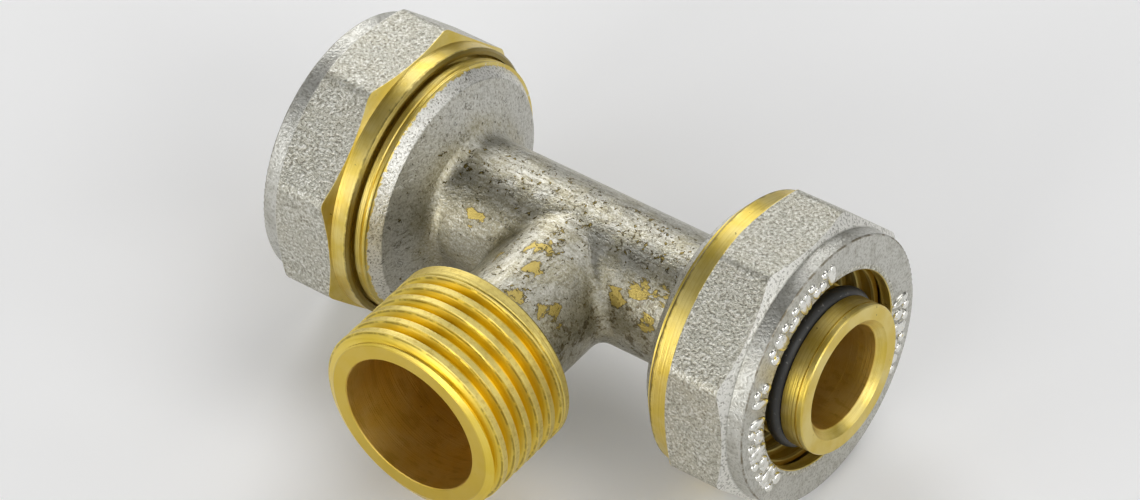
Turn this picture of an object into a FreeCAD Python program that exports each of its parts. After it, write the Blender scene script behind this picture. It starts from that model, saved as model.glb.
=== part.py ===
import FreeCAD, Part
import os
from math import cos, pi, radians, sin, tan

from FreeCAD import Placement, Rotation, Vector

# Compression tee for 20 x 2 mm multilayer pipe, with a G 1/2 male branch. Millimetres.
# The run axis is X, the branch points along -Y, +Z is up, and the origin is where the axes cross.
# Every run-end piece is drawn on the +X end. The -X end is the same piece turned half round about Z,
# so both ends keep right-hand threads.

# How far a cutting shape runs past the face that it opens, and how close two edges count as the same
cut_overshoot = 1.0
thread_overshoot = 0.2
same_place = 0.01

# Flow passages
run_bore_r = 5.4
branch_bore_r = 7.55
branch_bore_depth = 10.5
branch_passage_r = 5.0
drill_point_angle = 60.0

# Forged body
run_tube_r = 6.85
branch_neck_r = 6.65
crotch_fillet = 1.6
flange_r = 13.1
flange_face_x = 17.25
flange_bevel_width = 1.15
flange_bevel_depth = 1.0
flange_foot_x = 14.7
flange_foot_r = 8.2
flange_foot_width = 0.5
foot_fillet = 1.3

# Threaded collar at each run end, M27 x 1.5 with flattened crests
end_pitch = 1.5
end_pitch_r = 13.0
end_crest_r = 13.4
end_root_r = 12.45
end_thread_start_x = 18.9
end_thread_turns = 4
relief_start_x = 18.4
rim_line_x = 17.7
rim_line_width = 0.3
rim_line_depth = 0.2
relief_end_x = 19.7
relief_r = 12.4
end_thread_chamfer = 0.7
collar_face_x = 21.8
seat_bevel = 1.1

# Pipe socket and the nozzle inside it
socket_r = 10.25
socket_floor_x = 19.0
nozzle_r = 7.75
nozzle_tip_x = 31.0
nozzle_tip_chamfer = 0.12
nozzle_mouth_chamfer = 0.82
mark_groove_x = 30.3
mark_groove_width = 0.2
mark_groove_depth = 0.18
barb_count = 3
barb_start_x = 23.7
barb_pitch = 0.9
barb_length = 0.8
barb_depth = 0.35

# O-rings in the nozzle's two grooves
o_ring_section = 1.8
o_ring_mean_r = 7.38
o_ring_groove_width = 1.96
o_ring_groove_r = 6.45
outer_o_ring_x = 27.62
inner_o_ring_x = 22.2

# Insulating washer on the floor of the socket
washer_thickness = 1.0
washer_inner_r = 7.85
washer_outer_r = 10.15

# Branch barrel, G 1/2 with flattened crests
branch_end = 28.2
branch_shoulder = 16.6
branch_shoulder_bevel_length = 0.3
branch_shoulder_bevel_depth = 0.3
branch_shoulder_back = 1.05
branch_neck_fillet = 1.0
branch_pitch = 1.814
branch_thread_turns = 7
branch_crest_r = 10.25
branch_crest_flat = 0.58
branch_root_r = 9.3
branch_collar = 0.29
run_out_width = 0.3
run_out_depth = 0.15
run_out_turns = 0.8
branch_end_chamfer_length = 0.65
branch_end_chamfer_depth = 1.15
branch_mouth_chamfer = 0.1
whitworth_half_angle = 27.5

# Compression nut
nut_length = 10.8
nut_sides = 8
nut_across_flats = 28.8
nut_corner_round = 1.6
nut_collar_r = 14.0
nut_collar_length = 1.75
nut_collar_round = 0.18
nut_band_r = 14.25
nut_band_length = 2.0
nut_band_bevel = 0.25
outer_corner_angle = 30.0
inner_corner_angle = 28.0
nut_bore_r = 10.35
nut_lip = 1.2
nut_lip_bevel = 0.1
nut_chamber_r = 12.8
nut_mouth_r = 13.6
nut_mouth_depth = 1.05
nut_thread_r = 13.65
nut_thread_end = 4.9
nut_thread_turns = 6
flank_clearance = 0.12
metric_half_angle = 30.0
right_nut_face_x = 28.6
left_nut_face_x = 29.5
right_nut_turn = 19.0
left_nut_turn = 24.0

# Split ring
split_ring_outer_r = 12.35
split_ring_inner_r = 10.6
split_ring_gap = 0.55
split_ring_play = 0.3
split_ring_bevel = 0.9
rib_r = 10.1
rib_pitch = 1.95
rib_count = 3
rib_width = 0.35
rib_back = 0.1
rib_front = 0.2
split_ring_nose = 0.35
split_width = 2.0
split_turn = 250.0

ALONG_X = Rotation(Vector(0, 1, 0), 90)
TO_LEFT = Placement(Vector(0, 0, 0), Rotation(Vector(0, 0, 1), 180))
TO_BRANCH = Placement(Vector(0, 0, 0), Rotation(Vector(0, 0, 1), -90))


def placed(shape, placement):
    """A copy of the shape, moved as a whole."""
    moved = shape.copy()
    moved.Placement = placement.multiply(moved.Placement)
    return moved


def revolved(points):
    """A solid of revolution about X from (x, radius) corners."""
    corners = [Vector(x, 0, r) for x, r in points]
    face = Part.Face(Part.makePolygon(corners + corners[:1]))
    return face.revolve(Vector(0, 0, 0), Vector(1, 0, 0), 360)


def cylinder_x(radius, x_start, x_end):
    return Part.makeCylinder(radius, x_end - x_start, Vector(x_start, 0, 0), Vector(1, 0, 0))


def circles_at(shape, x, radius):
    """The shape's whole circular edges about X at this place."""
    found = []
    for edge in shape.Edges:
        if not isinstance(edge.Curve, Part.Circle):
            continue
        off_centre = abs(edge.Curve.Center.x - x)
        off_radius = abs(edge.Curve.Radius - radius)
        if off_centre < same_place and off_radius < same_place:
            found.append(edge)
    return found


def helical_sweep(pitch, x_start, length, outline):
    """Sweep (axial, radius) corners along a right-hand helix about X, starting at x_start."""
    inner_r = min(r for _, r in outline)
    helix = Part.makeLongHelix(pitch, length, inner_r, 0, False)
    corners = [Vector(r, 0, axial) for axial, r in outline]
    profile = Part.makePolygon(corners + corners[:1])
    sweep = Part.Wire(helix.Edges).makePipeShell([profile], True, True)
    return placed(sweep, Placement(Vector(x_start, 0, 0), ALONG_X))


def groove_outline(root_r, open_r, root_half, half_angle):
    """A thread groove's section: root_half each side at root_r, opening outwards to open_r."""
    open_half = root_half + (open_r - root_r) * tan(radians(half_angle))
    return [(-root_half, root_r), (-open_half, open_r), (open_half, open_r), (root_half, root_r)]


def metric_groove_half(depth_r):
    """Half the width of a metric groove, where depth_r counts from the pitch radius to its opening."""
    return (end_pitch / 2 + flank_clearance) / 2 + depth_r * tan(radians(metric_half_angle))


def o_ring_groove(x):
    low, high = x - o_ring_groove_width / 2, x + o_ring_groove_width / 2
    return [(low, nozzle_r), (low, o_ring_groove_r), (high, o_ring_groove_r), (high, nozzle_r)]


def barbs():
    """Saw-tooth rings that grip the inside of the pipe."""
    teeth = []
    for i in range(barb_count):
        x = barb_start_x + i * barb_pitch
        teeth += [(x, nozzle_r), (x, nozzle_r - barb_depth), (x + barb_length, nozzle_r)]
    return teeth


def mark_groove():
    """The fine turned line just behind the nozzle's tip."""
    low, high = mark_groove_x - mark_groove_width / 2, mark_groove_x + mark_groove_width / 2
    deep_r = nozzle_r - mark_groove_depth
    return [(low, nozzle_r), (low, deep_r), (high, deep_r), (high, nozzle_r)]


def run_half():
    """One run end of the forging, solid: tube, flange, threaded collar and nozzle."""
    outline = [
        (0, 0),
        (0, run_tube_r),
        (flange_foot_x - flange_foot_width, run_tube_r),
        (flange_foot_x, flange_foot_r),
        (flange_face_x - flange_bevel_width, flange_r - flange_bevel_depth),
        (flange_face_x, flange_r),
        (flange_face_x, end_crest_r),
        (rim_line_x - rim_line_width / 2, end_crest_r),
        (rim_line_x, end_crest_r - rim_line_depth),
        (rim_line_x + rim_line_width / 2, end_crest_r),
        (relief_start_x, end_crest_r),
        (relief_start_x, relief_r),
        (relief_end_x, relief_r),
        (relief_end_x, end_crest_r),
        (collar_face_x - end_thread_chamfer, end_crest_r),
        (collar_face_x, end_crest_r - end_thread_chamfer),
        (collar_face_x, socket_r + seat_bevel),
        (collar_face_x - seat_bevel, socket_r),
        (socket_floor_x, socket_r),
        (socket_floor_x, nozzle_r),
    ]
    outline += o_ring_groove(inner_o_ring_x) + barbs() + o_ring_groove(outer_o_ring_x) + mark_groove()
    outline += [
        (nozzle_tip_x - nozzle_tip_chamfer, nozzle_r),
        (nozzle_tip_x, nozzle_r - nozzle_tip_chamfer),
        (nozzle_tip_x, 0),
    ]
    half = revolved(outline)
    return half.makeFillet(foot_fillet, circles_at(half, flange_foot_x - flange_foot_width, run_tube_r))


def end_thread_cutter():
    root_half = metric_groove_half(end_root_r - end_pitch_r)
    outline = groove_outline(end_root_r, end_crest_r + thread_overshoot, root_half, metric_half_angle)
    return helical_sweep(end_pitch, end_thread_start_x, end_thread_turns * end_pitch, outline)


def branch_stub():
    """The branch, solid and drawn along +X: forged neck, then the barrel with its chamfered end."""
    bevel_x = branch_shoulder - branch_shoulder_bevel_length
    neck_end_x = bevel_x - branch_shoulder_back
    stub = revolved([
        (0, 0),
        (0, branch_neck_r),
        (neck_end_x, branch_neck_r),
        (bevel_x, branch_crest_r - branch_shoulder_bevel_depth),
        (branch_shoulder, branch_crest_r),
        (branch_end - branch_end_chamfer_length, branch_crest_r),
        (branch_end, branch_crest_r - branch_end_chamfer_depth),
        (branch_end, 0),
    ])
    return stub.makeFillet(branch_neck_fillet, circles_at(stub, neck_end_x, branch_neck_r))


def branch_thread_cutter():
    """The G 1/2 groove, starting just past the shoulder on the underside."""
    depth = branch_crest_r - branch_root_r
    root_half = (branch_pitch - branch_crest_flat) / 2 - depth * tan(radians(whitworth_half_angle))
    open_r = branch_crest_r + thread_overshoot
    outline = groove_outline(branch_root_r, open_r, root_half, whitworth_half_angle)
    start = branch_shoulder + branch_collar + branch_pitch / 2
    return helical_sweep(branch_pitch, start, branch_thread_turns * branch_pitch, outline)


def run_out_cutter():
    """The shallow line that the die's lead leaves on the collar, half a pitch before the groove."""
    deep_r = branch_crest_r - run_out_depth
    slope = run_out_width / 2 / run_out_depth
    open_r = branch_crest_r + thread_overshoot
    outline = [
        (0, deep_r),
        (-slope * (open_r - deep_r), open_r),
        (slope * (open_r - deep_r), open_r),
    ]
    start = branch_shoulder + branch_collar
    return helical_sweep(branch_pitch, start, run_out_turns * branch_pitch, outline)


def bores():
    """The straight passage through the run, and the stepped passage down the branch."""
    run = cylinder_x(run_bore_r, -nozzle_tip_x - cut_overshoot, nozzle_tip_x + cut_overshoot)
    mouth = nozzle_mouth_chamfer
    flare = revolved([
        (nozzle_tip_x - mouth, 0),
        (nozzle_tip_x - mouth, run_bore_r),
        (nozzle_tip_x + mouth, run_bore_r + 2 * mouth),
        (nozzle_tip_x + mouth, 0),
    ])
    step = branch_end - branch_bore_depth
    drill_point = (branch_bore_r - branch_passage_r) / tan(radians(drill_point_angle))
    lip = branch_mouth_chamfer
    branch = revolved([
        (0, 0),
        (0, branch_passage_r),
        (step - drill_point, branch_passage_r),
        (step, branch_bore_r),
        (branch_end - lip, branch_bore_r),
        (branch_end + lip, branch_bore_r + 2 * lip),
        (branch_end + lip, 0),
    ])
    return [run, flare, placed(flare, TO_LEFT), placed(branch, TO_BRANCH)]


def crotch_seam(shape):
    """The edges where the branch neck meets the run tube."""
    seam = []
    for edge in shape.Edges:
        faces = shape.ancestorsOfType(edge, Part.Face)
        radii = sorted(face.Surface.Radius for face in faces if isinstance(face.Surface, Part.Cylinder))
        if len(radii) != 2:
            continue
        if abs(radii[0] - branch_neck_r) < same_place and abs(radii[1] - run_tube_r) < same_place:
            seam.append(edge)
    return seam


def make_tee_body():
    tube = run_half().fuse(placed(run_half(), TO_LEFT)).removeSplitter()
    body = tube.fuse(placed(branch_stub(), TO_BRANCH))
    body = body.makeFillet(crotch_fillet, crotch_seam(body))
    thread = end_thread_cutter()
    branch_cuts = [placed(branch_thread_cutter(), TO_BRANCH), placed(run_out_cutter(), TO_BRANCH)]
    for cutter in [thread, placed(thread, TO_LEFT)] + branch_cuts:
        body = body.cut(cutter)
    for bore in bores():
        body = body.cut(bore)
    return body


def octagon_prism(face_x, turn):
    """The nut's flats with slightly rounded corners; turn is the angle of one corner from +Y."""
    corner_r = nut_across_flats / 2 / cos(pi / nut_sides)
    corners = []
    for i in range(nut_sides + 1):
        angle = radians(turn) + 2 * pi * i / nut_sides
        corners.append(Vector(face_x - nut_length, corner_r * cos(angle), corner_r * sin(angle)))
    prism = Part.Face(Part.makePolygon(corners)).extrude(Vector(nut_length, 0, 0))
    along = [edge for edge in prism.Edges if edge.BoundBox.XLength > nut_length / 2]
    return prism.makeFillet(nut_corner_round, along)


def nut_envelope(face_x):
    """The turned outside of the nut: band, corner chamfers and collar."""
    inner_x = face_x - nut_length
    band_x = inner_x + nut_band_length
    collar_x = face_x - nut_collar_length
    peak_r = nut_across_flats / 2 / cos(pi / nut_sides) + cut_overshoot
    solid = revolved([
        (inner_x, 0),
        (inner_x, nut_band_r - nut_band_bevel),
        (inner_x + nut_band_bevel, nut_band_r),
        (band_x, nut_band_r),
        (band_x + (peak_r - nut_band_r) * tan(radians(inner_corner_angle)), peak_r),
        (collar_x - (peak_r - nut_collar_r) * tan(radians(outer_corner_angle)), peak_r),
        (collar_x, nut_collar_r),
        (face_x, nut_collar_r),
        (face_x, 0),
    ])
    return solid.makeFillet(nut_collar_round, circles_at(solid, face_x, nut_collar_r))


def nut_hollow(face_x):
    """The nut's inside before threading: mouth, thread minor bore, clamping cone and pipe hole."""
    inner_x = face_x - nut_length
    lip_x = face_x - nut_lip
    return revolved([
        (inner_x - cut_overshoot, 0),
        (inner_x - cut_overshoot, nut_mouth_r),
        (inner_x + nut_mouth_depth, nut_mouth_r),
        (inner_x + nut_mouth_depth + nut_mouth_r - nut_chamber_r, nut_chamber_r),
        (lip_x - (nut_chamber_r - nut_bore_r), nut_chamber_r),
        (lip_x, nut_bore_r),
        (face_x - nut_lip_bevel, nut_bore_r),
        (face_x + nut_lip_bevel, nut_bore_r + 2 * nut_lip_bevel),
        (face_x + cut_overshoot, nut_bore_r + 2 * nut_lip_bevel),
        (face_x + cut_overshoot, 0),
    ])


def nut_thread_cutter(face_x):
    """The female groove, in step with the collar's thread wherever the nut stands."""
    inner_x = face_x - nut_length
    open_r = nut_chamber_r - thread_overshoot
    open_half = metric_groove_half(end_pitch_r - open_r)
    root_half = metric_groove_half(end_pitch_r - nut_thread_r)
    outline = [
        (-open_half, open_r),
        (open_half, open_r),
        (root_half, nut_thread_r),
        (-root_half, nut_thread_r),
    ]
    start = end_thread_start_x - end_pitch / 2
    while start > inner_x - end_pitch / 2:
        start -= end_pitch
    sweep = helical_sweep(end_pitch, start, nut_thread_turns * end_pitch, outline)
    keep = cylinder_x(nut_across_flats, inner_x + nut_mouth_depth, inner_x + nut_thread_end)
    return sweep.common(keep)


def make_nut(face_x, turn):
    nut = octagon_prism(face_x, turn).common(nut_envelope(face_x))
    nut = nut.cut(nut_hollow(face_x))
    return nut.cut(nut_thread_cutter(face_x))


def make_split_ring(face_x):
    """The ring that the nut's cone closes on the pipe, with inner ribs and one slot."""
    start = collar_face_x + split_ring_gap + face_x - right_nut_face_x
    cone_top = face_x - nut_lip - split_ring_play
    end = cone_top - split_ring_nose
    outline = [
        (start, split_ring_inner_r),
        (start, split_ring_outer_r - split_ring_bevel),
        (start + split_ring_bevel, split_ring_outer_r),
        (cone_top - (split_ring_outer_r - nut_bore_r), split_ring_outer_r),
        (end, nut_bore_r + cone_top - end),
    ]
    for i in range(rib_count):
        x = end - i * rib_pitch
        if i > 0:
            outline.append((x + rib_front, split_ring_inner_r))
        outline += [
            (x, rib_r),
            (x - rib_width, rib_r),
            (x - rib_width - rib_back, split_ring_inner_r),
        ]
    ring = revolved(outline)
    corner = Vector(start - cut_overshoot, -split_width / 2, 0)
    slot = Part.makeBox(nut_length, split_width, split_ring_outer_r + cut_overshoot, corner)
    slot.rotate(Vector(0, 0, 0), Vector(1, 0, 0), split_turn)
    return ring.cut(slot)


def make_o_ring(x):
    return Part.makeTorus(o_ring_mean_r, o_ring_section / 2, Vector(x, 0, 0), Vector(1, 0, 0))


def make_washer():
    top_x = socket_floor_x + washer_thickness
    disc = cylinder_x(washer_outer_r, socket_floor_x, top_x)
    return disc.cut(cylinder_x(washer_inner_r, socket_floor_x - cut_overshoot, top_x + cut_overshoot))


parts = {
    "tee_body": make_tee_body(),
    "right_nut": make_nut(right_nut_face_x, right_nut_turn),
    "left_nut": placed(make_nut(left_nut_face_x, left_nut_turn), TO_LEFT),
    "right_split_ring": make_split_ring(right_nut_face_x),
    "left_split_ring": placed(make_split_ring(left_nut_face_x), TO_LEFT),
    "right_outer_o_ring": make_o_ring(outer_o_ring_x),
    "left_outer_o_ring": make_o_ring(-outer_o_ring_x),
    "right_inner_o_ring": make_o_ring(inner_o_ring_x),
    "left_inner_o_ring": make_o_ring(-inner_o_ring_x),
    "right_insulating_washer": make_washer(),
    "left_insulating_washer": placed(make_washer(), TO_LEFT),
}

os.makedirs("parts", exist_ok=True)
for name, shape in parts.items():
    shape.exportStep("parts/" + name + ".step")
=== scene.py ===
import math

import bpy
from mathutils import Matrix, Vector


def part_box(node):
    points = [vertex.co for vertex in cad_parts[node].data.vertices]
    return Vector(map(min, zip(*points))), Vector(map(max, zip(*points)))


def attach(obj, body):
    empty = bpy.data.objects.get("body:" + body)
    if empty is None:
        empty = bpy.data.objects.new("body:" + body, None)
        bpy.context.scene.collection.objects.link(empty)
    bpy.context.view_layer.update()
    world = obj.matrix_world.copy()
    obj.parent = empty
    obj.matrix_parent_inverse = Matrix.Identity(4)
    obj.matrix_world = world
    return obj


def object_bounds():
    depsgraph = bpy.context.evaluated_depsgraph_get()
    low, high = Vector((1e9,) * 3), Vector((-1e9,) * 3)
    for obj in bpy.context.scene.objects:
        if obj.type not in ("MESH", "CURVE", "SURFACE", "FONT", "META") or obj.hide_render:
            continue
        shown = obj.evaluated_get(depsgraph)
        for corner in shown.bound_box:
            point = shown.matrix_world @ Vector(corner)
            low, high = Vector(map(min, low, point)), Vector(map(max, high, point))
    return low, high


# The looks of a compression tee: camera, soft light, metal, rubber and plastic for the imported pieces,
# and the raised marks on the nuts' faces. Blender works in metres and the materials in millimetres.
MM = 0.001

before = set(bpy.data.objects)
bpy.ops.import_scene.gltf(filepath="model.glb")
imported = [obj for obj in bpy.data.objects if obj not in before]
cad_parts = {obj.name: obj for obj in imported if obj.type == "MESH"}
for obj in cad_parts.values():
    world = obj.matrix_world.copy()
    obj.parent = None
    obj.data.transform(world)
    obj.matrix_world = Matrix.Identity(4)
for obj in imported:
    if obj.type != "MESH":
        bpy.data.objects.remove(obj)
cad_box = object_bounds()

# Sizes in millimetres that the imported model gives
RIGHT_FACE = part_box("right_nut")[1][0] / MM
LEFT_FACE = -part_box("left_nut")[0][0] / MM
NUT_LENGTH = RIGHT_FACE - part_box("right_nut")[0][0] / MM
BRANCH_FACE = -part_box("tee_body")[0][1] / MM

# Sizes in millimetres and degrees where one finish gives way to another, the same as in the model
BAND_LENGTH = 2.0
BAND_R = 14.25
NUT_COLLAR_R = 14.0
NUT_COLLAR_LENGTH = 1.75
NUT_MOUTH_R = 13.6
NUT_BORE_R = 10.35
INNER_CORNER_ANGLE = 28.0
OUTER_CORNER_ANGLE = 30.0
FLANGE_FACE = 17.25
FLANGE_BEVEL = 16.1
RUN_BORE_R = 5.4
BRANCH_CREST_R = 10.25
BRANCH_ROOT_R = 9.3
BRANCH_BORE_R = 7.55
BRANCH_PASSAGE_R = 5.0
BRANCH_STEP = 17.7
RIB_R = 10.1

# The plating of the neck ends this far down the branch, just short of its shoulder
PLATING_END = 16.4

# Depths in metres of the fine lines left by turning and of the grain on each finish
LATHE_DEPTH = 0.07 * MM
BLAST_DEPTH = 0.13 * MM
FORGE_DEPTH = 0.085 * MM
RUBBER_DEPTH = 0.05 * MM
PLASTIC_DEPTH = 0.03 * MM
MARK_WEAR_DEPTH = 0.05 * MM


class Graph:
    """A tree of shader nodes. Every method from position on adds nodes and returns what comes out."""

    def __init__(self, tree):
        self.tree = tree

    def add(self, kind, inputs=(), **settings):
        """Adds a node with these settings, and feeds its inputs by their names or numbers."""
        node = self.tree.nodes.new(kind)
        for key, value in settings.items():
            setattr(node, key, value)
        for key, value in dict(inputs).items():
            self.feed(node.inputs[key], value)
        return node

    def feed(self, socket, value):
        """Gives an input either a link from another node's output or a fixed value."""
        if isinstance(value, bpy.types.NodeSocket):
            self.tree.links.new(value, socket)
        else:
            socket.default_value = value

    def position(self):
        """The object's own coordinates in millimetres."""
        inputs = {0: self.add("ShaderNodeTexCoord").outputs["Object"], "Scale": 1 / MM}
        return self.add("ShaderNodeVectorMath", inputs, operation="SCALE").outputs["Vector"]

    def split(self, vector):
        node = self.add("ShaderNodeSeparateXYZ", {"Vector": vector})
        return node.outputs["X"], node.outputs["Y"], node.outputs["Z"]

    def join(self, x, y, z):
        return self.add("ShaderNodeCombineXYZ", {"X": x, "Y": y, "Z": z}).outputs["Vector"]

    def math(self, operation, a, b=0.0):
        return self.add("ShaderNodeMath", {0: a, 1: b}, operation=operation).outputs["Value"]

    def absolute(self, a):
        return self.math("ABSOLUTE", a)

    def plus(self, a, b):
        return self.math("ADD", a, b)

    def minus(self, a, b):
        return self.math("SUBTRACT", a, b)

    def times(self, a, b):
        return self.math("MULTIPLY", a, b)

    def both(self, *masks):
        """Where all the masks are 1."""
        result = masks[0]
        for mask in masks[1:]:
            result = self.times(result, mask)
        return result

    def either(self, *masks):
        """Where any of the masks is 1."""
        result = masks[0]
        for mask in masks[1:]:
            result = self.math("MAXIMUM", result, mask)
        return result

    def opposite(self, mask):
        return self.minus(1.0, mask)

    def reach(self, a, b):
        """Distance from an axis, given the two coordinates across it."""
        return self.math("SQRT", self.plus(self.times(a, a), self.times(b, b)))

    def distance(self, a, b):
        return self.add("ShaderNodeVectorMath", {0: a, 1: b}, operation="DISTANCE").outputs["Value"]

    def step(self, value, low, high):
        """0 below low, 1 above high, smooth between; with low above high it runs the other way."""
        inputs = {"Value": value, "From Min": low, "From Max": high}
        return self.add("ShaderNodeMapRange", inputs, interpolation_type="SMOOTHSTEP").outputs["Result"]

    def noise(self, vector, per_mm, detail=3.0, roughness=0.55, distortion=0.0):
        """Noise with about per_mm features in each millimetre."""
        node = self.add("ShaderNodeTexNoise", {
            "Vector": vector, "Scale": per_mm, "Detail": detail,
            "Roughness": roughness, "Distortion": distortion,
        })
        return node.outputs["Fac"]

    def drawn_noise(self, coordinates, stretch, **settings):
        """Two noises, drawn out along X and along Y: that coordinate is taken times stretch, under 1."""
        x, y, z = coordinates
        along_x = self.noise(self.join(self.times(x, stretch), y, z), **settings)
        along_y = self.noise(self.join(x, self.times(y, stretch), z), **settings)
        return along_x, along_y

    def mix(self, data_type, amount, first, second):
        inputs = {"Factor": amount, "A": first, "B": second}
        return self.add("ShaderNodeMix", inputs, data_type=data_type).outputs["Result"]

    def blend(self, amount, first, second):
        """Mixes two colours."""
        return self.mix("RGBA", amount, first, second)

    def lerp(self, amount, first, second):
        """Mixes two numbers."""
        return self.mix("FLOAT", amount, first, second)

    def tint(self, color, mask, amount, other):
        """Takes a colour towards another one, by amount where the mask is 1."""
        return self.blend(self.times(mask, amount), color, other)

    def bump(self, height, distance, strength=1.0, under=None):
        inputs = {"Height": height, "Distance": distance, "Strength": strength}
        if under is not None:
            inputs["Normal"] = under
        return self.add("ShaderNodeBump", inputs).outputs["Normal"]


class Surface(Graph):
    """The tree of one material, with the material and its shader."""

    def __init__(self, name):
        self.material = bpy.data.materials.new(name)
        self.material.use_nodes = True
        super().__init__(self.material.node_tree)
        self.shader = self.tree.nodes["Principled BSDF"]

    def finish(self, color, roughness, normal=None, metallic=1.0):
        """Feeds the shader and returns the material."""
        self.feed(self.shader.inputs["Base Color"], color)
        self.feed(self.shader.inputs["Roughness"], roughness)
        self.feed(self.shader.inputs["Metallic"], metallic)
        if normal is not None:
            self.feed(self.shader.inputs["Normal"], normal)
        return self.material


# Colours: linear red, green and blue, and alpha
BRASS = (0.70, 0.53, 0.10, 1)
BRASS_DEEP = (0.46, 0.30, 0.035, 1)
BRASS_PALE = (0.78, 0.65, 0.24, 1)
BRASS_BROWN = (0.11, 0.075, 0.02, 1)
PIT_BROWN = (0.055, 0.042, 0.016, 1)
BRASS_ROOT = (0.80, 0.56, 0.03, 1)
BRASS_THREAD = (0.84, 0.63, 0.07, 1)
BRASS_CREST = (0.74, 0.62, 0.22, 1)
BRASS_RUBBED = (0.52, 0.40, 0.12, 1)
BRASS_TARNISHED = (0.56, 0.32, 0.05, 1)
NICKEL = (0.49, 0.48, 0.41, 1)
NICKEL_WARM = (0.50, 0.48, 0.395, 1)
NICKEL_TURNED = (0.58, 0.575, 0.53, 1)
NICKEL_DARK = (0.25, 0.235, 0.19, 1)
NICKEL_LIGHT = (0.80, 0.79, 0.74, 1)
FORGED = (0.475, 0.46, 0.385, 1)
FORGED_WARM = (0.44, 0.41, 0.30, 1)
FORGED_PAINTED_SHADE = (0.30, 0.27, 0.17, 1)
FORGED_DARK = (0.17, 0.145, 0.085, 1)
RUBBER = (0.018, 0.018, 0.017, 1)
RUBBER_DUST = (0.25, 0.24, 0.22, 1)
PLASTIC = (0.80, 0.79, 0.75, 1)
PLASTIC_PALE = (0.90, 0.89, 0.86, 1)
FLOOR_GREY = (0.95, 0.95, 0.95, 1)
FLOOR_WHITE = (0.97, 0.97, 0.97, 1)


def turned_brass(g, along, spot):
    """Colour, roughness and height of bare brass with lathe lines across the axis."""
    lines = g.noise(g.join(along, 0.0, 0.0), 6.0, detail=4.0, roughness=0.6)
    cloud = g.noise(spot, 0.35, detail=4.0)
    color = g.blend(g.step(cloud, 0.3, 0.7), BRASS, BRASS_PALE)
    color = g.tint(color, g.step(lines, 0.6, 0.35), 0.35, BRASS_DEEP)
    color = g.blend(g.step(g.noise(spot, 1.6, detail=5.0), 0.68, 0.76), color, BRASS_BROWN)
    return color, g.lerp(cloud, 0.28, 0.42), lines


def blasted_nickel(g, spot):
    """Colour, roughness and height of plating over a sandblasted surface."""
    grain = g.noise(spot, 3.4, detail=3.0, roughness=0.7)
    coarse = g.noise(spot, 0.45, detail=4.0)
    color = g.blend(g.step(coarse, 0.3, 0.7), NICKEL, NICKEL_WARM)
    color = g.tint(color, g.step(grain, 0.51, 0.62), 0.75, NICKEL_LIGHT)
    color = g.tint(color, g.step(grain, 0.48, 0.36), 0.85, NICKEL_DARK)
    stain = g.both(g.step(grain, 0.40, 0.34), g.step(coarse, 0.5, 0.62))
    color = g.tint(color, stain, 0.3, BRASS_BROWN)
    return color, g.lerp(grain, 0.46, 0.28), grain


def turned_nickel(g, spot):
    """Colour, roughness and height of plating over a turned surface, smoother than the blasted flats."""
    grain = g.noise(spot, 3.6, detail=3.0, roughness=0.6)
    stain = g.step(g.noise(spot, 0.7, detail=4.0), 0.45, 0.65)
    color = g.tint(NICKEL_TURNED, stain, 0.25, FORGED_DARK)
    color = g.tint(color, g.step(grain, 0.52, 0.38), 0.5, NICKEL_DARK)
    return color, g.lerp(grain, 0.48, 0.32), grain


class NutPlace:
    """Where a point of a nut lies, in millimetres, and how far the edge of the plating wanders there."""

    def __init__(self, g, face):
        self.face = face
        self.mouth = face - NUT_LENGTH
        self.spot = g.position()
        x, y, z = g.split(self.spot)
        self.along = g.absolute(x)
        self.out = g.reach(y, z)
        self.ragged = g.times(g.minus(g.noise(self.spot, 1.2), 0.5), 0.12)


def nut_bare(g, at):
    """Where a nut is turned to bare brass: inner band and chamfers, the hollow, and the pipe hole."""
    slope = math.tan(math.radians(INNER_CORNER_ANGLE))
    plating_past_band = 0.06
    cone_start = at.mouth + BAND_LENGTH + plating_past_band - BAND_R * slope
    cone_edge = g.plus(g.times(at.out, slope), cone_start)
    band = g.step(g.minus(g.plus(at.along, at.ragged), cone_edge), 0.03, -0.03)
    inside = g.step(at.along, at.face - 0.1, at.face - 0.25)
    hollow = g.both(g.step(at.out, NUT_MOUTH_R + 0.09, NUT_MOUTH_R + 0.05), inside)
    hole = g.step(at.out, NUT_BORE_R + 0.1, NUT_BORE_R + 0.05)
    return g.either(band, hollow, hole)


def nut_turned(g, at):
    """Where a nut's plating lies over a turned surface: the collar and the outer chamfers."""
    slope = math.tan(math.radians(OUTER_CORNER_ANGLE))
    edge = g.minus(at.face - NUT_COLLAR_LENGTH + NUT_COLLAR_R * slope, g.times(at.out, slope))
    return g.step(g.minus(at.along, edge), -0.06, -0.02)


def nut_brass(g, at):
    """Turned brass that is tarnished in an uneven stripe at the nut's mouth."""
    color, rough, lines = turned_brass(g, at.along, at.spot)
    uneven = g.plus(at.along, g.times(at.ragged, 6.0))
    tarnish = g.step(uneven, at.mouth + 0.5, at.mouth + 0.2)
    return g.tint(color, tarnish, 0.7, BRASS_BROWN), rough, lines


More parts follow.
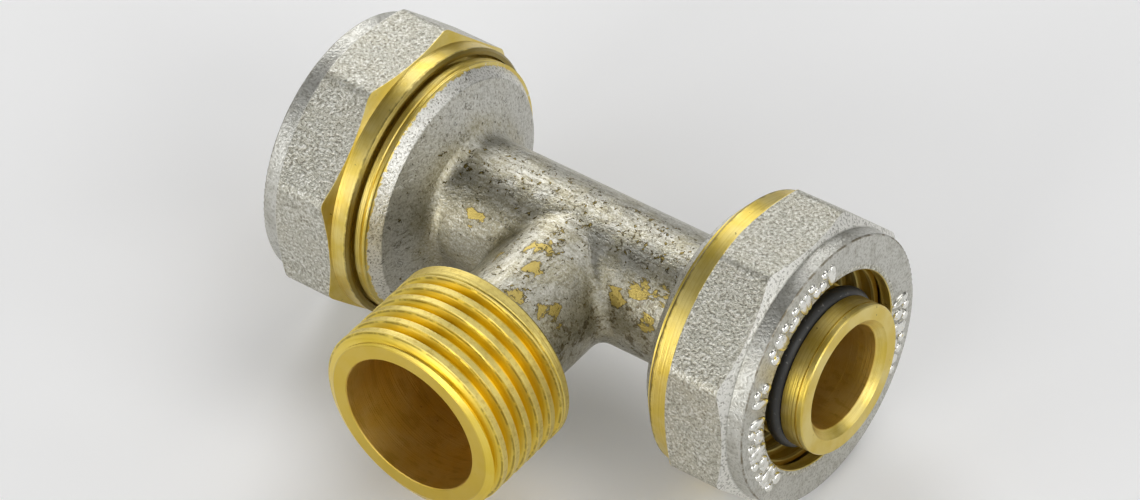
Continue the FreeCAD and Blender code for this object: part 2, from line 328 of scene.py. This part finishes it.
def nut_nickel(g, at, turned):
    """Plating of a nut: blasted flats, a collar with stains and a brown rim, and the outer chamfers
    lightened as a painted highlight.
    """
    flat_color, flat_rough, grain = blasted_nickel(g, at.spot)
    collar_color, collar_rough, fine_grain = turned_nickel(g, at.spot)
    rim = g.both(
        g.step(at.out, NUT_COLLAR_R - 0.2, NUT_COLLAR_R - 0.1),
        g.step(at.along, at.face - 0.2, at.face - 0.1),
        g.step(g.noise(at.spot, 0.8, detail=4.0), 0.35, 0.6),
    )
    # Painted highlight: the outer chamfers beyond the collar are lightened towards light nickel where the
    # fine grain is high.
    corner = g.both(
        turned,
        g.step(at.out, NUT_COLLAR_R + 0.05, NUT_COLLAR_R + 0.15),
        g.step(fine_grain, 0.38, 0.5),
    )
    color = g.blend(turned, flat_color, collar_color)
    color = g.tint(color, corner, 0.9, NICKEL_LIGHT)
    color = g.tint(color, rim, 0.75, BRASS_BROWN)
    rough = g.lerp(turned, flat_rough, collar_rough)
    height = g.lerp(turned, grain, g.times(fine_grain, 0.6))
    return color, rough, height


def nut_material(name, face):
    """Blasted flats, turned collar and outer chamfers; band, inner chamfers and inside turned bare."""
    g = Surface(name)
    at = NutPlace(g, face)
    bare = nut_bare(g, at)
    turned = nut_turned(g, at)
    brass, brass_rough, lines = nut_brass(g, at)
    nickel, nickel_rough, height = nut_nickel(g, at, turned)
    lathed = g.bump(lines, LATHE_DEPTH, strength=bare)
    normal = g.bump(height, BLAST_DEPTH, strength=g.opposite(bare), under=lathed)
    return g.finish(g.blend(bare, nickel, brass), g.lerp(bare, nickel_rough, brass_rough), normal)


# Places where the plating of the forging is rubbed through to brass, with the radius of each
WORN_SPOTS = (
    ((-9.4, -5.5, 4.1), 1.7),
    ((0.2, -7.2, 6.0), 2.2),
    ((1.0, -9.6, 6.6), 1.5),
    ((-2.6, -9.8, 5.8), 1.6),
    ((2.0, -13.4, 6.4), 1.5),
    ((5.0, -12.3, 4.4), 2.2),
    ((8.0, -6.0, 3.3), 1.7),
    ((10.2, -5.0, 4.7), 1.9),
    ((12.6, -4.6, 5.0), 1.8),
    ((12.0, -6.4, 2.4), 1.6),
)

# Zones of the forging, in millimetres along the run, down the branch, or along an axis: each one goes
# from 0 at its first place to 1 at its second
NECK_DOWN = (6.0, 8.0)
BRANCH_BORE_DOWN = (5.0, 6.0)
COUNTERBORE_DOWN = (BRANCH_STEP - 2.5, BRANCH_STEP - 2.0)
FLANGE_ALONG = (14.6, 15.4)
TOP_Z = (5.2, 6.4)
TOP_ALONG = (14.5, 13.5)
# Painted shade: the front of the tube left of the neck, between the branch and the left flange
PAINTED_SHADE_X = (-2.0, -6.0)
PAINTED_SHADE_Y = (-2.0, -4.0)
PAINTED_SHADE_ALONG = (14.6, 13.6)
MOTTLED_X = (4.0, 7.0)
MOTTLED_Z = (5.0, 3.0)
MOTTLED_END_X = (16.5, 15.5)


def body_bore(g, out, across, down):
    """Where the body is bored: along the run, down the branch's passage and in its counterbore."""
    run_bore = g.step(out, RUN_BORE_R + 0.1, RUN_BORE_R + 0.02)
    branch_edge = g.step(across, BRANCH_BORE_R + 0.1, BRANCH_BORE_R + 0.02)
    branch_bore = g.both(branch_edge, g.step(down, *BRANCH_BORE_DOWN))
    passage = g.both(branch_bore, g.step(across, BRANCH_PASSAGE_R + 0.1, BRANCH_PASSAGE_R))
    counterbore = g.both(branch_bore, g.step(down, *COUNTERBORE_DOWN))
    return g.either(run_bore, passage, counterbore)


class BodyPlace:
    """Where a point of the body lies, in millimetres, and masks of the body's main zones."""

    def __init__(self, g):
        self.spot = g.position()
        self.coordinates = g.split(self.spot)
        self.x, self.y, self.z = self.coordinates
        self.along = g.absolute(self.x)
        self.down = g.times(self.y, -1.0)
        self.across = g.reach(self.x, self.z)
        self.neck = g.step(self.down, *NECK_DOWN)
        self.grain = g.noise(self.spot, 4.5, detail=4.0, roughness=0.65)
        ragged = g.times(g.minus(g.noise(self.spot, 1.8, detail=4.0), 0.5), 0.7)
        end = g.step(g.plus(self.along, ragged), FLANGE_FACE - 0.15, FLANGE_FACE - 0.05)
        self.barrel = g.step(g.plus(self.down, ragged), PLATING_END - 0.1, PLATING_END)
        self.bore = body_bore(g, g.reach(self.y, self.z), self.across, self.down)
        self.turned = g.either(end, self.barrel, self.bore)
        self.thread = g.both(self.barrel, g.opposite(self.bore))


def body_wear(g, at):
    """Where the plating is rubbed through to brass, and the dark rim round those patches."""
    patches = [g.step(g.distance(at.spot, center), radius, radius / 4) for center, radius in WORN_SPOTS]
    wear = g.either(*patches)
    blotches = g.drawn_noise(at.coordinates, 0.5, per_mm=0.9, detail=5.0, roughness=0.62, distortion=0.4)
    frayed = g.times(g.minus(at.grain, 0.5), 0.16)
    rubbed = g.plus(g.plus(g.lerp(at.neck, *blotches), g.times(wear, 0.22)), frayed)
    through = g.both(g.step(rubbed, 0.645, 0.675), g.step(wear, 0.0, 0.05))
    rim = g.both(g.step(rubbed, 0.62, 0.65), g.step(rubbed, 0.69, 0.66))
    return through, rim


def body_brass(g, at):
    """Bare brass of the body: bright thread roots, scored crests, tarnished and streaked bores, and painted
    shade on the branch's end face.
    """
    color, rough, lines = turned_brass(g, g.lerp(at.barrel, at.along, at.down), at.spot)
    crest = g.both(at.thread, g.step(at.across, BRANCH_CREST_R - 0.12, BRANCH_CREST_R - 0.04))
    scored = g.both(crest, g.step(g.noise(at.spot, 1.8, detail=5.0, roughness=0.65), 0.48, 0.66))
    crest_edge = g.both(
        g.step(at.across, BRANCH_CREST_R - 0.32, BRANCH_CREST_R - 0.2),
        at.thread,
        g.step(at.across, BRANCH_CREST_R - 0.06, BRANCH_CREST_R - 0.14),
        g.step(g.noise(at.spot, 0.8, detail=4.0), 0.35, 0.55),
    )
    root = g.both(
        at.thread,
        g.step(at.across, BRANCH_CREST_R - 0.3, BRANCH_ROOT_R + 0.1),
        g.step(at.down, BRANCH_FACE - 0.3, BRANCH_FACE - 0.8),
    )
    long_way = g.join(g.times(at.down, 3.0), at.x, g.times(at.z, 0.4))
    streak = g.noise(long_way, 0.5, detail=4.0, roughness=0.6)
    end_face_shade = g.both(at.thread, g.step(at.down, BRANCH_FACE - 0.1, BRANCH_FACE - 0.03))
    color = g.tint(color, at.thread, 0.6, BRASS_THREAD)
    color = g.tint(color, crest, 0.8, BRASS_CREST)
    color = g.tint(color, scored, 0.4, BRASS_DEEP)
    color = g.tint(color, crest_edge, 0.6, BRASS_BROWN)
    color = g.tint(color, root, 0.9, BRASS_ROOT)
    color = g.tint(color, at.bore, 0.6, BRASS_TARNISHED)
    color = g.tint(color, g.both(at.bore, g.step(streak, 0.5, 0.62)), 0.5, BRASS_DEEP)
    # Painted shade: the branch's end face is darkened evenly towards deep brass.
    color = g.tint(color, end_face_shade, 0.5, BRASS_DEEP)
    return color, g.plus(rough, g.times(crest, 0.12)), lines


def forged_nickel(g, at, cloud):
    """Colour and roughness of plating over the forging before any wear or pitting, with painted highlight
    streaks, a painted reflection on the flange faces and painted shade left of the neck, and the tube top's
    mask.
    """
    drawn = g.lerp(at.neck, *g.drawn_noise(at.coordinates, 0.3, per_mm=2.4, detail=4.0, roughness=0.6))
    top = g.both(g.step(at.z, *TOP_Z), g.step(at.along, *TOP_ALONG))
    # Painted shade: the front of the tube left of the neck, off the neck and clear of the flange, is
    # blended towards a dark warm grey.
    painted_shade = g.both(
        g.step(at.x, *PAINTED_SHADE_X),
        g.step(at.along, *PAINTED_SHADE_ALONG),
        g.step(at.y, *PAINTED_SHADE_Y),
    )
    color = g.blend(g.step(cloud, 0.4, 0.6), FORGED, FORGED_WARM)
    # Painted reflection: the flange faces are lightened towards turned nickel to stand in for the bright
    # floor they mirror.
    color = g.tint(color, g.step(at.along, *FLANGE_ALONG), 0.8, NICKEL_TURNED)
    color = g.blend(g.both(g.times(painted_shade, 0.6), g.opposite(at.neck)), color, FORGED_PAINTED_SHADE)
    # Painted highlight: light nickel streaks where the drawn noise is high, twice as strong on the top of
    # the tube.
    color = g.blend(g.both(g.step(drawn, 0.52, 0.62), g.lerp(top, 0.2, 0.4)), color, NICKEL_LIGHT)
    color = g.tint(color, g.step(drawn, 0.47, 0.36), 0.4, FORGED_DARK)
    color = g.tint(color, g.step(at.grain, 0.48, 0.36), 0.5, FORGED_DARK)
    color = g.tint(color, g.step(at.grain, 0.54, 0.64), 0.4, NICKEL_LIGHT)
    return color, g.lerp(drawn, 0.37, 0.25), top


def body_nickel(g, at, cloud):
    """Plating of the body: mottled low on the right, a painted highlight on the flange's chamfer, rubbed
    through to brass in patches, and pitted.
    """
    color, rough, top = forged_nickel(g, at, cloud)
    through, rim = body_wear(g, at)
    speckled = g.both(top, g.step(g.noise(at.spot, 0.5, detail=2.0), 0.38, 0.5))
    pits = g.noise(at.spot, 1.9, detail=5.0, roughness=0.62, distortion=0.5)
    pits = g.minus(pits, g.lerp(speckled, 0.335, 0.415))
    low_right = g.both(
        g.step(at.z, *MOTTLED_Z),
        g.step(at.x, *MOTTLED_X),
        g.step(at.x, *MOTTLED_END_X),
    )
    mottle = g.both(low_right, g.step(g.noise(at.spot, 1.1, detail=5.0, roughness=0.65), 0.52, 0.6))
    # Painted highlight: a narrow band at the flange's chamfer is lightened towards light nickel where the
    # grain is high.
    bevel_highlight = g.both(g.step(at.along, FLANGE_BEVEL, FLANGE_BEVEL + 0.15), g.step(at.grain, 0.4, 0.5))
    color = g.tint(color, mottle, 0.75, BRASS_BROWN)
    color = g.tint(color, bevel_highlight, 0.8, NICKEL_LIGHT)
    color = g.blend(through, color, BRASS_RUBBED)
    color = g.blend(g.either(g.step(pits, 0.02, -0.005), g.times(rim, 0.7)), color, PIT_BROWN)
    color = g.tint(color, g.step(pits, -0.025, -0.06), 0.5, BRASS_RUBBED)
    return color, rough


def body_material():
    """Forged and plated tube, flanges and neck; turned brass threads, nozzles and bores."""
    g = Surface("plated_forging")
    at = BodyPlace(g)
    cloud = g.noise(at.spot, 0.3, detail=4.0)
    nickel, nickel_rough = body_nickel(g, at, cloud)
    brass, brass_rough, lines = body_brass(g, at)
    rough = g.plus(g.lerp(at.turned, nickel_rough, brass_rough), g.times(at.bore, 0.2))
    lathed = g.bump(lines, LATHE_DEPTH, strength=at.turned)
    forged = g.plus(at.grain, g.times(cloud, 3.0))
    strength = g.times(g.opposite(at.turned), 0.8)
    normal = g.bump(forged, FORGE_DEPTH, strength, under=lathed)
    return g.finish(g.blend(at.turned, nickel, brass), rough, normal)


def ring_material():
    """Turned brass of the split rings: painted shade between the ribs and a painted highlight on their
    crests.
    """
    g = Surface("turned_brass")
    spot = g.position()
    x, y, z = g.split(spot)
    color, _, lines = turned_brass(g, x, spot)
    # Painted highlight: the rib crests nearest the axis are pale brass; painted shade: between them the
    # brass is tinted deeper.
    crest = g.step(g.reach(y, z), RIB_R + 0.2, RIB_R + 0.1)
    color = g.tint(color, g.opposite(crest), 0.4, BRASS_DEEP)
    color = g.blend(crest, color, BRASS_PALE)
    return g.finish(color, g.lerp(crest, 0.35, 0.45), g.bump(lines, LATHE_DEPTH, strength=0.6))


def rubber_material():
    """Black rubber with a little pale dust on it."""
    g = Surface("o_ring_rubber")
    spot = g.position()
    dust = g.step(g.noise(spot, 2.5, detail=5.0), 0.62, 0.72)
    color = g.tint(RUBBER, dust, 0.5, RUBBER_DUST)
    rough = g.lerp(g.noise(spot, 0.8), 0.35, 0.6)
    normal = g.bump(g.noise(spot, 3.0, detail=4.0), RUBBER_DEPTH, strength=0.4)
    return g.finish(color, rough, normal, metallic=0.0)


def washer_material():
    """Off-white plastic of the insulating washers."""
    g = Surface("insulating_plastic")
    spot = g.position()
    color = g.blend(g.noise(spot, 0.6), PLASTIC, PLASTIC_PALE)
    normal = g.bump(g.noise(spot, 2.0, detail=4.0), PLASTIC_DEPTH, strength=0.3)
    return g.finish(color, 0.45, normal, metallic=0.0)


def dress(node, material):
    """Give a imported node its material."""
    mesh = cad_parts[node].data
    mesh.materials.clear()
    mesh.materials.append(material)


dress("tee_body", body_material())
dress("right_nut", nut_material("right_nut_nickel", RIGHT_FACE))
dress("left_nut", nut_material("left_nut_nickel", LEFT_FACE))
ribbed_brass = ring_material()
rubber = rubber_material()
plastic = washer_material()
for side in ("right", "left"):
    dress(side + "_split_ring", ribbed_brass)
    dress(side + "_outer_o_ring", rubber)
    dress(side + "_inner_o_ring", rubber)
    dress(side + "_insulating_washer", plastic)


def mark_material():
    """Plating over the raised marks, smoother than the face round them, lightened as a painted highlight
    and rubbed through to brass in spots.
    """
    g = Surface("raised_nickel")
    wear_and_sheen = g.noise(g.position(), 1.5, detail=4.0)
    # Painted highlight: light nickel where the noise is above the middle; where it is highest the plating
    # is rubbed through to brass.
    color = g.blend(g.step(wear_and_sheen, 0.3, 0.5), NICKEL, NICKEL_LIGHT)
    color = g.blend(g.step(wear_and_sheen, 0.66, 0.72), color, BRASS)
    return g.finish(color, g.lerp(wear_and_sheen, 0.18, 0.3), g.bump(wear_and_sheen, MARK_WEAR_DEPTH, strength=0.5))


# A mark's section from its foot, which is sunk in the face, to just below its crown: height and width
# as parts of the whole
MARK_LEVELS = ((-0.4, 1.0), (0.35, 0.95), (0.75, 0.78), (0.95, 0.5))
MARK_HEIGHT = 0.34
MARK_CORNERS = 20


def raised_mark(face, angle, radius, across, along):
    """Corners and faces of one smooth pad on a nut's end face: across runs outwards, along runs round."""
    corners = []
    for level, width in MARK_LEVELS:
        for i in range(MARK_CORNERS):
            turn = 2 * math.pi * i / MARK_CORNERS
            far = radius + across / 2 * width * math.sin(turn)
            around = angle + along / 2 * width * math.cos(turn) / radius
            corners.append((face + level * MARK_HEIGHT, far * math.cos(around), far * math.sin(around)))
    corners.append((face + MARK_HEIGHT, radius * math.cos(angle), radius * math.sin(angle)))
    crown = len(corners) - 1
    last = crown - MARK_CORNERS
    faces = []
    for low in range(0, last, MARK_CORNERS):
        high = low + MARK_CORNERS
        for i in range(MARK_CORNERS):
            j = (i + 1) % MARK_CORNERS
            faces.append((low + i, low + j, high + j, high + i))
    for i in range(MARK_CORNERS):
        faces.append((last + i, last + (i + 1) % MARK_CORNERS, crown))
    return corners, faces


# Angles in degrees of the raised marks, from the nut's own +Y towards its +Z, and their radius
MARK_ANGLES = (-37, -29, -21, -12, -4, 89, 101, 111.5, 122, 132, 154, 172, 182, 192, 203, 214)
MARK_RADIUS = 11.7

# Half of a mark's spread in radians, and its pads: part of that spread, then in millimetres the way
# outwards from the radius, the size across and the size along
MARK_SPREAD = 0.065
MARK_PADS = (
    (-1.0, 0.0, 2.6, 1.15),
    (0.3, 0.8, 1.0, 1.1),
    (1.0, -0.35, 1.4, 1.2),
)


def mark_pattern():
    """Angle, radius, size across and size along of every pad; every other mark is the mirror image."""
    pattern = []
    for i, degrees in enumerate(MARK_ANGLES):
        spread = MARK_SPREAD if i % 2 else -MARK_SPREAD
        for part, outwards, across, along in MARK_PADS:
            angle = math.radians(degrees) + part * spread
            pattern.append((angle, MARK_RADIUS + outwards, across, along))
    return pattern


def show(name, data):
    """Put a mesh, a lamp or a camera in the scene as an object."""
    thing = bpy.data.objects.new(name, data)
    bpy.context.collection.objects.link(thing)
    return thing


def make_marks(name, face, side, body, material):
    """The ring of raised marks on a nut's end face; side is 1 on the right nut and -1 on the left."""
    corners, faces = [], []
    for angle, radius, across, along in mark_pattern():
        pad, pad_faces = raised_mark(face, angle, radius, across, along)
        start = len(corners)
        corners += [(side * x * MM, side * y * MM, z * MM) for x, y, z in pad]
        faces += [tuple(start + i for i in f) for f in pad_faces]
    mesh = bpy.data.meshes.new(name)
    mesh.from_pydata(corners, [], faces)
    for polygon in mesh.polygons:
        polygon.use_smooth = True
    mesh.materials.append(material)
    marks = show(name, mesh)
    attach(marks, body)


nickel_marks = mark_material()
make_marks("right_nut_marks", RIGHT_FACE, 1, "right_nut_body", nickel_marks)
make_marks("left_nut_marks", LEFT_FACE, -1, "left_nut_body", nickel_marks)

# In metres
FLOOR_WIDTH = 3.0


def make_floor():
    """A large pale sheet at the height of the tee's lowest point."""
    half = FLOOR_WIDTH / 2
    low = cad_box[0][2]
    corners = [(-half, -half, low), (half, -half, low), (half, half, low), (-half, half, low)]
    mesh = bpy.data.meshes.new("floor")
    mesh.from_pydata(corners, [], [(0, 1, 2, 3)])
    g = Surface("pale_floor")
    color = g.blend(g.noise(g.position(), 0.02), FLOOR_GREY, FLOOR_WHITE)
    mesh.materials.append(g.finish(color, 0.8, metallic=0.0))
    floor = show("floor", mesh)


# Radiance of the world where it isn't dimmed, and how much is left of it overhead and behind
SKY = 0.42
SKY_OVERHEAD = 0.35
SKY_BEHIND = 0.5

# Square soft boxes: name, place and width in metres, and radiance
LIGHTS = (
    ("front_left", (-0.55, -0.85, 0.5), 0.5, 1.9),
    ("front", (0.05, -1.1, 0.27), 0.5, 5.6),
    ("back_left", (-0.36, 0.31, 0.29), 0.3, 3.5),
    ("back_right", (0.95, 0.5, 0.45), 0.5, 2.0),
    ("right", (1.0, -0.3, 0.5), 0.7, 2.5),
    ("above", (0.2, 0.5, 0.95), 0.65, 1.8),
)


def make_light(name, place, width, radiance):
    """A soft box aimed at the origin; its power is worked out from its radiance and its width."""
    lamp = bpy.data.lights.new(name, "AREA")
    lamp.shape = "SQUARE"
    lamp.size = width
    lamp.energy = radiance * math.pi * width * width
    holder = show(name, lamp)
    holder.location = place
    holder.rotation_euler = Vector(place).to_track_quat("Z", "Y").to_euler()


def make_world():
    """Even light from the front and the sides, weaker from overhead and from behind."""
    world = bpy.data.worlds.new("studio")
    world.use_nodes = True
    g = Graph(world.node_tree)
    _, y, z = g.split(g.add("ShaderNodeTexCoord").outputs["Generated"])
    overhead = g.lerp(g.step(z, 0.55, 0.9), 1.0, SKY_OVERHEAD)
    behind = g.lerp(g.step(y, 0.0, 0.7), 1.0, SKY_BEHIND)
    background = world.node_tree.nodes["Background"]
    background.inputs["Color"].default_value = (1, 1, 1, 1)
    g.feed(background.inputs["Strength"], g.times(g.both(overhead, behind), SKY))
    bpy.context.scene.world = world


# The camera: direction and roll in degrees, distance and offsets in metres, lens and sensor in millimetres
AZIMUTH, ELEVATION, ROLL = 40.43, 43.01, -4.50
DISTANCE, ASIDE, ABOVE = 572.3 * MM, -1.83 * MM, 0.51 * MM
LENS, SENSOR = 186.1, 36


def make_camera():
    """Looks down on the tee from its right front, slightly rolled."""
    azimuth, elevation, roll = math.radians(AZIMUTH), math.radians(ELEVATION), math.radians(ROLL)
    back = Vector((
        math.sin(azimuth) * math.cos(elevation),
        -math.cos(azimuth) * math.cos(elevation),
        math.sin(elevation),
    ))
    level = (-back).cross(Vector((0, 0, 1))).normalized()
    rise = level.cross(-back)
    right = level * math.cos(roll) + rise * math.sin(roll)
    up = rise * math.cos(roll) - level * math.sin(roll)
    data = bpy.data.cameras.new("camera")
    data.sensor_width = SENSOR
    data.lens = LENS
    data.clip_start = 10 * MM
    camera = show("camera", data)
    turn = Matrix((right, up, back)).transposed().to_4x4()
    camera.matrix_world = Matrix.Translation(back * DISTANCE + right * ASIDE + up * ABOVE) @ turn
    bpy.context.scene.camera = camera


make_floor()
make_world()
make_camera()
for light in LIGHTS:
    make_light(*light)
bpy.context.scene.view_settings.view_transform = "Standard"
